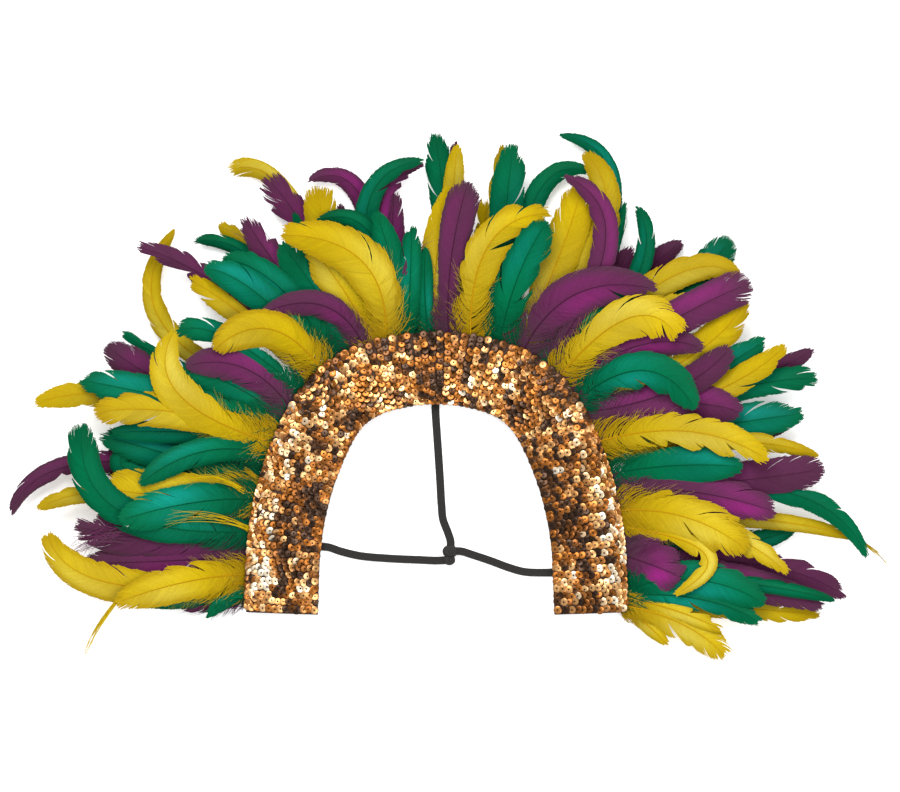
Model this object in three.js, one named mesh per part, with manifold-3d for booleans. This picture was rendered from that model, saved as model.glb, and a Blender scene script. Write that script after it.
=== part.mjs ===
import * as THREE from 'three';
import { mergeVertices } from 'three/addons/utils/BufferGeometryUtils.js';
import Module from 'manifold-3d';

// A feather headdress lying on its back, in millimetres. +Z is the side that faces out when it
// is worn, and +Y runs from the leg ends to the crown. The origin is on the flat back of the
// band, at the middle of the crown.

const wasm = await Module();
wasm.setup();

// Sequin band: an arch swept along a centre line, given as the arcs of its right half
const BAND_WIDTH = 54;
const BAND_HALF = BAND_WIDTH / 2;
const SPINE_ARCS = [
  { radius: 144, degrees: 20 },
  { radius: 67, degrees: 42 },
  { radius: 252, degrees: 26 },
];
const LEG_STRAIGHT = 35;
const SPINE_STEP = 9;
const BAND_CREST = 8;
const BAND_SHOULDER = 7.5;
const BAND_SHOULDER_ACROSS = 16;
const BAND_INNER_EDGE = 6;
const BAND_OUTER_EDGE = 6.4;
const TAPE_BED_INNER = 8;
const TAPE_BED_HEIGHT = 4.5;
const HEM_LENGTH = 4;
const HEM_DROP = 1.5;
const HEM_STEP = 0.4;

// Feather rows: three strips of tape stacked in the bed under the band's outer edge
const TAPE_INNER = 9;
const TAPE_OUTER = 26;
const TAPE_THICKNESS = 1.2;
const TAPE_PITCH = 1.5;
const TAPE_END_MARGIN = 0.6;

// A feather is a flat blade with a ridge. It leaves the band's outer edge at its root, a station
// along the centre line, and bends past its elbow to its tip. It is widest from its belly, a share
// of its length, to where its taper begins. Each level lies over the one below.
const QUILL_DEPTH = 10.5;
const QUILL_SHARE = 0.36;
const BLADE_THICKNESS = 1;
const BLADE_STEPS = [0, 0.22, 0.42, 0.62, 0.8, 0.93];
const LEVEL_LIFT = 6;
const FAN_DEPTH = 190;
const FAN_SAMPLE = 3;

// Elastic straps: flat tape that lies on the same surface as the band, tied in one knot
const STRAP_WIDTH = 6;
const STRAP_THICKNESS = 1.4;
const STRAP_MIDDLE = 0.8;
const STRAP_STEP = 9;
const SEWN_DEPTH = 11;
const NOTCH_DEPTH = 12;
const NOTCH_WIDTH = 7.2;
const NOTCH_HEIGHT = 1.9;
const JOIN_GAP = 0.3;
const KNOT_SEGMENTS = 12;
const KNOT_LUMPS = [
  { x: 10.5, y: -138, z: 3.7, radiusX: 5.6, radiusY: 4.8, radiusZ: 3.5 },
  { x: 10, y: -144.5, z: 3.2, radiusX: 4.4, radiusY: 3.8, radiusZ: 3 },
];

const CLOTH_ROUGHNESS = 0.7;
const SEQUIN_ROUGHNESS = 0.25;
const SEQUIN_METALNESS = 0.9;
const DYES = { yellow: 0xe8c81c, green: 0x067a52, purple: 0x74195c };
const SEQUIN_GOLD = 0xb87438;
const ELASTIC_BLACK = 0x2c2a29;

// Straps: the station where each leaves the band's inner edge, and where its middle then lies
const STRAPS = [
  {
    name: 'crown_strap',
    station: -0.5,
    route: readTable(`
        x      y    z
        1    -54  0.8
        3    -84  0.8
      4.1   -103  0.8
     5.25   -114  0.8
        9   -124  0.9
       11   -131  1.7
     10.5   -138  3.2
    `),
  },
  {
    name: 'side_strap_left',
    station: -195.5,
    route: readTable(`
        x      y    z
      -72   -138  0.8
      -57 -141.5  0.8
    -34.5 -143.5  0.8
      -12 -144.5  0.8
        0   -145  1.2
       10 -144.5  2.9
    `),
  },
  {
    name: 'side_strap_right',
    station: 217,
    route: readTable(`
        x      y    z
     66.8 -153.5  0.8
     55.5 -150.5  0.8
     40.5   -145  0.8
     25.5   -140  0.9
       19   -138  1.7
     10.5   -138  3.2
    `),
  },
];

// Feathers of each row, one line for each feather, in order of their roots from left to right
const BACK_FEATHERS = readTable(`
   level   root elbowX elbowY   tipX   tipY  width  taper  belly
       2   -239   -168   -178   -192   -180     12   0.45   0.45
       0   -205   -160   -118   -188   -122     40   0.50   0.20
       2   -158   -301    -43   -319   -111     16   0.60   0.45
       1   -148   -196    -76   -256    -70     30   0.35   0.45
       2    -96   -258     24   -196    104     17   0.60   0.45
       1    -61   -140    108   -183     95     11   0.35   0.45
       0    -55   -123     79   -164    109     15   0.25   0.45
       2    -50    -98    118   -129    144     24   0.20   0.45
       1    -48   -109    172   -156    148     14   0.12   0.90
       2    -44    -87     66   -107    117     13   0.50   0.45
       0    -39    -61     74    -73    124     15   0.35   0.45
       1    -36    -40    170    -97    140     16   0.55   0.45
       2    -28    -63    149     -9    154     17   0.55   0.45
       1    -25    -36     80    -31    134     19   0.40   0.45
       1    -12     -8     48     -7     64     30   0.50   0.20
       2      7      8     88     16    168     16   0.25   0.85
       1      8     12     98     -1    177     21   0.20   0.85
       0      9     10     96     14    171     13   0.30   0.45
       1     24     24     60     26     85     30   0.50   0.20
       0     30     34     90     38    128     16   0.40   0.45
       1     40     39    100     50    168     13   0.35   0.45
       2     50     60    170    117    147     17   0.60   0.45
       1     73    177    167     92    175     14   0.55   0.45
       2     78    130     60    147     92     18   0.40   0.45
       2     79    130     58    142    125     10   0.60   0.45
       1     87    150     76    186     95     19   0.45   0.45
       2     91    188     56    222     97     24   0.15   0.85
       2    116    228    -20    284     14     18   0.40   0.45
       1    136    198    -58    265    -45     15   0.40   0.45
       1    192    228   -144    273   -118     17   0.45   0.45
       0    196    162   -118    190   -128     40   0.50   0.20
`);
const MIDDLE_FEATHERS = readTable(`
   level   root elbowX elbowY   tipX   tipY  width  taper  belly
       4   -235   -183   -172   -227   -176     16   0.50   0.45
       4   -207   -210   -146   -264   -146     26   0.40   0.45
       5   -200   -215   -132   -270   -118     30   0.35   0.45
       3   -174   -255    -78   -299   -106     16   0.50   0.45
       3   -160   -200    -62   -252    -51     26   0.40   0.45
       3   -150   -274    -88   -224    -57     18   0.40   0.45
       5   -125   -182    -46   -243    -48     17   0.40   0.45
       5   -117   -244     -4   -299    -27     23   0.50   0.45
       4   -110   -220    -12   -246     18     24   0.25   0.45
       3   -107   -211      4   -237     30     10   0.55   0.45
       4    -83   -150     70   -223     91     18   0.30   0.45
       5    -79   -145     44   -185     67     20   0.35   0.45
       5    -65   -120     80   -160     81     22   0.40   0.45
       3    -58   -117     70   -144    113     23   0.45   0.45
       5    -52    -92     63   -116     94     29   0.40   0.45
       3    -46    -90    102    -87    136     25   0.20   0.45
       3    -32    -80    150     -9    155     17   0.55   0.45
       4    -26    -35    130    -89    110     16   0.55   0.45
       5      0     -5     84     12    137     24   0.50   0.45
       5     34     47    102     82    111     20   0.35   0.45
       3     44     48     96     58    168     25   0.25   0.45
       5     53    101     96    110    141     29   0.40   0.45
       4     59    100     66    120    122     26   0.45   0.45
       3     65    158    124    110    161     22   0.40   0.45
       5     76    153     45    193     52     18   0.40   0.45
       4     78    190    103    227     67     23   0.60   0.45
       4     83    183     88    147    122     15   0.60   0.45
       3     90    183     43    214     70     20   0.35   0.45
       4     93    160     -2    203      4     17   0.40   0.45
       5     99    209      4    231     51     26   0.35   0.45
       4    109    198    -16    247     22     21   0.30   0.45
       5    111    172    -16    229    -33     30   0.30   0.45
       5    113    217    -28    261     17     20   0.35   0.45
       3    120    246     -4    286     -8     19   0.18   0.45
       3    132    202    -43    276    -34     27   0.25   0.45
       4    139    228    -43    286    -66     14   0.50   0.45
       5    160    229    -87    290    -75     28   0.20   0.45
       4    170    290    -63    322   -142     18   0.65   0.45
       3    184    259   -106    314   -128     13   0.55   0.45
       3    213    261   -135    307   -172     20   0.35   0.45
       5    220    229   -153    289   -178     27   0.60   0.45
       4    240    217   -178    288   -185     18   0.45   0.45
       5    246    157   -190    174   -208     12   0.50   0.45
`);
const FRONT_FEATHERS = readTable(`
   level   root elbowX elbowY   tipX   tipY  width  taper  belly
       6   -232   -158   -172   -173   -187     12   0.50   0.45
       7   -226   -280   -177   -289   -121     27   0.60   0.45
       8   -220   -189   -156   -238   -175     28   0.45   0.45
       6   -190   -274   -129   -263    -41     24   0.15   0.30
       8   -168   -182    -96   -236   -114     29   0.30   0.45
       6   -163   -205    -99   -249    -89     34   0.25   0.45
       7   -137   -176    -49   -221    -87     20   0.35   0.45
       8   -128   -226    -24   -194     28     31   0.80   0.45
       7   -124   -206    -22   -254    -34     26   0.25   0.45
       6   -113   -215    -18   -265     -9     26   0.35   0.45
       6   -110   -159     -2   -190     -3     23   0.35   0.45
       7   -101   -141     15   -187      1     27   0.45   0.45
       6    -90   -169     43   -195     26     17   0.30   0.45
       8    -74   -124     52   -166     13     28   0.35   0.45
       6    -70   -141     74   -173     74     24   0.45   0.45
       7    -47    -78     65   -131     40     20   0.50   0.45
       6    -40    -66     58    -94     91     29   0.35   0.45
       8    -32    -34     99   -116     99     35   0.50   0.45
       6    -22    -29     76    -45    117     22   0.50   0.45
       7    -18    -19     66    -18    107     18   0.55   0.45
       6     -5    -10     58     -8     91     13   0.40   0.45
       6      8      6     80     24    139     25   0.12   0.85
       8     22     24    116     87    115     32   0.85   0.45
       8     41     58     74     83    109     28   0.30   0.45
       7     56     97     76    165     58     33   0.60   0.45
       6     68    119     45    154     60     20   0.45   0.45
       6     70    164    115     95    143     19   0.55   0.45
       8     80    153     67    181     22     31   0.40   0.45
       7     86    156     33    200     14     22   0.45   0.45
       6     88    187     47    235     63     27   0.12   0.45
       8     96    163     23    193    -31     29   0.40   0.45
       6    105    190    -24    220     16     22   0.25   0.45
       6    117    153    -24    196    -43     28   0.40   0.45
       8    127    196    -33    247    -69     28   0.50   0.45
       7    150    186    -69    229    -74     28   0.50   0.45
       6    164    186    -84    255   -108     29   0.30   0.45
       8    176    190   -102    232   -136     34   0.35   0.45
       7    180    215   -108    262   -153     20   0.60   0.45
       8    187    243   -133    178   -170     14   0.50   0.45
       8    207    160   -146    184   -157     40   0.35   0.20
       6    223    232   -155    297   -173     11   0.40   0.45
       7    231    201   -147    245   -176     29   0.45   0.45
       6    236    205   -166    242   -190     18   0.30   0.45
       7    238    183   -180    214   -196     14   0.40   0.45
       6    244    190   -187    217   -216     22   0.25   0.45
`);

function readTable(text) {
  const [names, ...rows] = text.trim().split('\n').map((line) => line.trim().split(/\s+/));
  return rows.map((row) => Object.fromEntries(names.map((name, i) => [name, Number(row[i])])));
}

// Centre line: where a station lies, and the direction from it to the band's outer edge
function spineAt(station) {
  const side = station < 0 ? -1 : 1;
  let left = Math.abs(station);
  let heading = 0;
  let x = 0;
  let y = 0;
  for (const { radius, degrees } of SPINE_ARCS) {
    const turn = Math.min(left / radius, THREE.MathUtils.degToRad(degrees));
    x += radius * (Math.sin(heading + turn) - Math.sin(heading));
    y -= radius * (Math.cos(heading) - Math.cos(heading + turn));
    heading += turn;
    left -= radius * turn;
  }
  x += left * Math.cos(heading);
  y -= left * Math.sin(heading);
  return {
    place: new THREE.Vector2(side * x, y),
    outward: new THREE.Vector2(side * Math.sin(heading), Math.cos(heading)),
  };
}

function spineLength() {
  const arc = ({ radius, degrees }) => radius * THREE.MathUtils.degToRad(degrees);
  return SPINE_ARCS.reduce((sum, row) => sum + arc(row), LEG_STRAIGHT);
}

function stationsBetween(start, end, step) {
  const count = Math.ceil((end - start) / step);
  return Array.from({ length: count + 1 }, (_, i) => start + ((end - start) * i) / count);
}

// A point beside the centre line: across is measured towards the outer edge
function besideSpine(station, across, height) {
  const { place, outward } = spineAt(station);
  return new THREE.Vector3(place.x + across * outward.x, place.y + across * outward.y, height);
}

// A closed skin through rings of points, ended by flat caps or by a tip
function loft(rings, section, tip) {
  const sides = section.length;
  const points = rings.flat();
  const index = [];
  for (let ring = 0; ring + 1 < rings.length; ring++) {
    for (let side = 0; side < sides; side++) {
      const a = ring * sides + side;
      const b = ring * sides + ((side + 1) % sides);
      index.push(a, b, b + sides, a, b + sides, a + sides);
    }
  }
  const cap = THREE.ShapeUtils.triangulateShape(section, []);
  const last = (rings.length - 1) * sides;
  cap.forEach(([a, b, c]) => index.push(a, c, b));
  if (tip) {
    for (let side = 0; side < sides; side++) {
      index.push(last + side, last + ((side + 1) % sides), points.length);
    }
    points.push(tip);
  } else {
    cap.forEach(([a, b, c]) => index.push(last + a, last + b, last + c));
  }
  const geometry = new THREE.BufferGeometry().setFromPoints(points);
  geometry.setIndex(index);
  return geometry;
}

// A flat section, as pairs of across and height, swept along the centre line
function sweepBand(stations, sectionAt) {
  const rings = stations.map((station) =>
    sectionAt(station).map(({ x, y }) => besideSpine(station, x, y)));
  return loft(rings, sectionAt(stations[0]));
}

function toSolid(geometry) {
  const bare = geometry.clone();
  bare.deleteAttribute('normal');
  bare.deleteAttribute('uv');
  const merged = mergeVertices(bare);
  const mesh = new wasm.Mesh({
    numProp: 3,
    vertProperties: new Float32Array(merged.attributes.position.array),
    triVerts: new Uint32Array(merged.index.array),
  });
  return new wasm.Manifold(mesh);
}

function toMesh(name, solid, material) {
  const { vertProperties, triVerts } = solid.getMesh();
  const geometry = new THREE.BufferGeometry();
  geometry.setAttribute('position', new THREE.BufferAttribute(vertProperties, 3));
  geometry.setIndex(new THREE.BufferAttribute(triVerts, 1));
  geometry.computeVertexNormals();
  const mesh = new THREE.Mesh(geometry, material);
  mesh.name = name;
  return mesh;
}

function bandSection(drop) {
  return [
    [-BAND_HALF, 0],
    [TAPE_BED_INNER, 0],
    [TAPE_BED_INNER, TAPE_BED_HEIGHT],
    [BAND_HALF, TAPE_BED_HEIGHT],
    [BAND_HALF, BAND_OUTER_EDGE - drop],
    [BAND_SHOULDER_ACROSS, BAND_SHOULDER - drop],
    [0, BAND_CREST - drop],
    [-BAND_SHOULDER_ACROSS, BAND_SHOULDER - drop],
    [-BAND_HALF, BAND_INNER_EDGE - drop],
  ].map(([across, height]) => new THREE.Vector2(across, height));
}

// A slot in the underside of the inner edge, where a strap is sewn in
function strapNotch(station) {
  const { place, outward } = spineAt(station);
  const box = new THREE.BoxGeometry(NOTCH_WIDTH, 2 * NOTCH_DEPTH, 2 * NOTCH_HEIGHT);
  box.rotateZ(Math.atan2(-outward.x, outward.y));
  box.translate(place.x - BAND_HALF * outward.x, place.y - BAND_HALF * outward.y, 0);
  return toSolid(box);
}

function sequinBand() {
  const legEnd = spineLength();
  const hemTop = legEnd - HEM_LENGTH;
  const covered = stationsBetween(-hemTop, hemTop, SPINE_STEP);
  const stations = [-legEnd, -hemTop - HEM_STEP, ...covered, hemTop + HEM_STEP, legEnd];
  const sectionAt = (station) => bandSection(Math.abs(station) > hemTop ? HEM_DROP : 0);
  const band = toSolid(sweepBand(stations, sectionAt));
  return STRAPS.reduce((solid, { station }) => solid.subtract(strapNotch(station)), band);
}

function tapeSection(bottom) {
  return [
    [TAPE_INNER, bottom],
    [TAPE_OUTER, bottom],
    [TAPE_OUTER, bottom + TAPE_THICKNESS],
    [TAPE_INNER, bottom + TAPE_THICKNESS],
  ].map(([across, height]) => new THREE.Vector2(across, height));
}

const fanSpine = stationsBetween(-spineLength(), spineLength(), FAN_SAMPLE).map(
  (station) => spineAt(station).place,
);

// The rise of one level at a point: nothing at the band's edge, and most at the rim of the fan
function fanRise(point) {
  const reach = Math.min(...fanSpine.map((place) => place.distanceTo(point))) - BAND_HALF;
  const share = THREE.MathUtils.clamp(reach / FAN_DEPTH, 0, 1);
  return LEVEL_LIFT * share * (2 - share);
}

function bladeHalfWidth(t, { width, taper, belly }) {
  const grown = THREE.MathUtils.smoothstep(t, 0, belly);
  const past = Math.max(0, (t - (1 - taper)) / taper);
  return (width / 2) * THREE.MathUtils.lerp(QUILL_SHARE, 1, grown) * Math.sqrt(1 - past * past);
}

// One feather: a quill inside the tape, then a three-sided blade along its bent midrib
function feather(row, bottom) {
  const { place, outward } = spineAt(row.root);
  const root = place.clone().addScaledVector(outward, BAND_HALF);
  const elbow = new THREE.Vector2(row.elbowX, row.elbowY);
  const tip = new THREE.Vector2(row.tipX, row.tipY);
  const midrib = new THREE.QuadraticBezierCurve(root, elbow, tip);
  const underside = bottom + (TAPE_THICKNESS - BLADE_THICKNESS) / 2;
  const lifted = (point, offset) =>
    new THREE.Vector3(point.x, point.y, underside + row.level * fanRise(point) + offset);
  const ring = (point, along, halfWidth) => {
    const side = new THREE.Vector2(-along.y, along.x).multiplyScalar(halfWidth);
    return [
      lifted(point.clone().add(side), 0),
      lifted(point, BLADE_THICKNESS),
      lifted(point.clone().sub(side), 0),
    ];
  };
  const quillEnd = root.clone().addScaledVector(outward, -QUILL_DEPTH);
  const rings = [ring(quillEnd, outward, bladeHalfWidth(0, row))];
  for (const t of BLADE_STEPS) {
    const along = t > 0 ? midrib.getTangent(t) : outward;
    rings.push(ring(midrib.getPoint(t), along, bladeHalfWidth(t, row)));
  }
  const ridged = [[1, 0], [0, 1], [-1, 0]].map(([x, y]) => new THREE.Vector2(x, y));
  return loft(rings, ridged, lifted(tip, BLADE_THICKNESS / 2));
}

function featherRow(order, feathers) {
  const bottom = order * TAPE_PITCH;
  const end = spineLength() - TAPE_END_MARGIN;
  const tape = sweepBand(stationsBetween(-end, end, SPINE_STEP), () => tapeSection(bottom));
  return feathers.reduce((solid, row) => solid.add(toSolid(feather(row, bottom))), toSolid(tape));
}

function strapOutline() {
  const halfWidth = STRAP_WIDTH / 2;
  const halfThickness = STRAP_THICKNESS / 2;
  const round = halfThickness / 2;
  const outline = new THREE.Shape();
  outline.moveTo(-halfThickness, -halfWidth + round);
  outline.lineTo(-halfThickness + round, -halfWidth);
  outline.lineTo(halfThickness - round, -halfWidth);
  outline.lineTo(halfThickness, -halfWidth + round);
  outline.lineTo(halfThickness, halfWidth - round);
  outline.lineTo(halfThickness - round, halfWidth);
  outline.lineTo(-halfThickness + round, halfWidth);
  outline.lineTo(-halfThickness, halfWidth - round);
  return outline;
}

function strapPath({ station, route }) {
  const sewn = [SEWN_DEPTH, 0, -STRAP_WIDTH].map((depth) =>
    besideSpine(station, depth - BAND_HALF, STRAP_MIDDLE));
  const free = route.map(({ x, y, z }) => new THREE.Vector3(x, y, z));
  return new THREE.CatmullRomCurve3([...sewn, ...free], false, 'centripetal');
}

function strap(row) {
  const path = strapPath(row);
  const steps = Math.ceil(path.getLength() / STRAP_STEP);
  const ribbon = new THREE.ExtrudeGeometry(strapOutline(), { steps, extrudePath: path });
  return toSolid(ribbon).subtract(knot(JOIN_GAP));
}

// The knot: rounded lumps that meet, made larger all round where a strap is cut to it
function knot(grown) {
  const lumps = KNOT_LUMPS.map(({ x, y, z, radiusX, radiusY, radiusZ }) => {
    const lump = new THREE.SphereGeometry(1, KNOT_SEGMENTS, KNOT_SEGMENTS / 2);
    lump.scale(radiusX + grown, radiusY + grown, radiusZ + grown);
    lump.translate(x, y, z);
    return toSolid(lump);
  });
  return lumps.reduce((solid, lump) => solid.add(lump));
}

function cloth(color) {
  return new THREE.MeshStandardMaterial({ color, roughness: CLOTH_ROUGHNESS, metalness: 0 });
}

const sequins = new THREE.MeshStandardMaterial({
  color: SEQUIN_GOLD,
  roughness: SEQUIN_ROUGHNESS,
  metalness: SEQUIN_METALNESS,
});
const elastic = cloth(ELASTIC_BLACK);

const headdress = new THREE.Group();
headdress.name = 'feather_headdress';
headdress.add(
  toMesh('sequin_band', sequinBand(), sequins),
  toMesh('feather_row_back', featherRow(0, BACK_FEATHERS), cloth(DYES.purple)),
  toMesh('feather_row_middle', featherRow(1, MIDDLE_FEATHERS), cloth(DYES.green)),
  toMesh('feather_row_front', featherRow(2, FRONT_FEATHERS), cloth(DYES.yellow)),
  ...STRAPS.map((row) => toMesh(row.name, strap(row), elastic)),
  toMesh('strap_knot', knot(0), elastic),
);

export default headdress;
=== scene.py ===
import math

import bpy
import numpy as np
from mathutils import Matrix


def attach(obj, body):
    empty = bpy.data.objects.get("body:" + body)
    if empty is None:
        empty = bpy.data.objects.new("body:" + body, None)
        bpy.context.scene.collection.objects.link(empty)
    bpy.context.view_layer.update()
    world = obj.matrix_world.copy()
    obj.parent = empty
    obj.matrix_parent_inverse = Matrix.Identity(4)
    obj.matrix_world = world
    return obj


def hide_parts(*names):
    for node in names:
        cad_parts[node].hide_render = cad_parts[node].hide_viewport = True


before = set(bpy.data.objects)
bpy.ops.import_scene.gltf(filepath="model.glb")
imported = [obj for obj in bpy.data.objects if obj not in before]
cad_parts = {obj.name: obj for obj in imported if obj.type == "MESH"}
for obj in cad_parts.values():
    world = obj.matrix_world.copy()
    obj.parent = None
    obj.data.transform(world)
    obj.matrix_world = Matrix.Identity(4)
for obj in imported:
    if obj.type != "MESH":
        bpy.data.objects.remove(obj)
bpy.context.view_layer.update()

# Sizes are in millimetres in the model's frame, and MM turns them into Blender's metres.
MM = 0.001
SEED = 20

# The light is strong enough to turn the floor white, so colours are taken down by this much
LOOK_SHARE = 0.77

# Band: the arcs of the right half of its centre line, and the heights of its top
BAND_HALF = 27
SPINE_ARCS = ((144, 20), (67, 42), (252, 26))
LEG_STRAIGHT = 35
HEM_LENGTH = 4
BAND_TOP_ACROSS = (-BAND_HALF, -16, 0, 16, BAND_HALF)
BAND_TOP_HEIGHT = (6, 7.5, 8, 7.5, 6.4)

# Feather rows: tapes under the band's outer edge, and the rise of each level over the fan
TAPE_INNER = 9
TAPE_OUTER = 26
TAPE_THICKNESS = 1.2
TAPE_PITCH = 1.5
TAPE_END_MARGIN = 0.6
TAPE_INSET = 0.02
TAPE_STATIONS = 140
TAPE_COLOUR = (50, 44, 40)
QUILL_DEPTH = 10.5
QUILL_SHARE = 0.36
LEVEL_LIFT = 6
LEVELS_PER_ROW = 3
FAN_DEPTH = 190
FAN_SAMPLE = 3
ROW_NAMES = ("back", "middle", "front")

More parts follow.
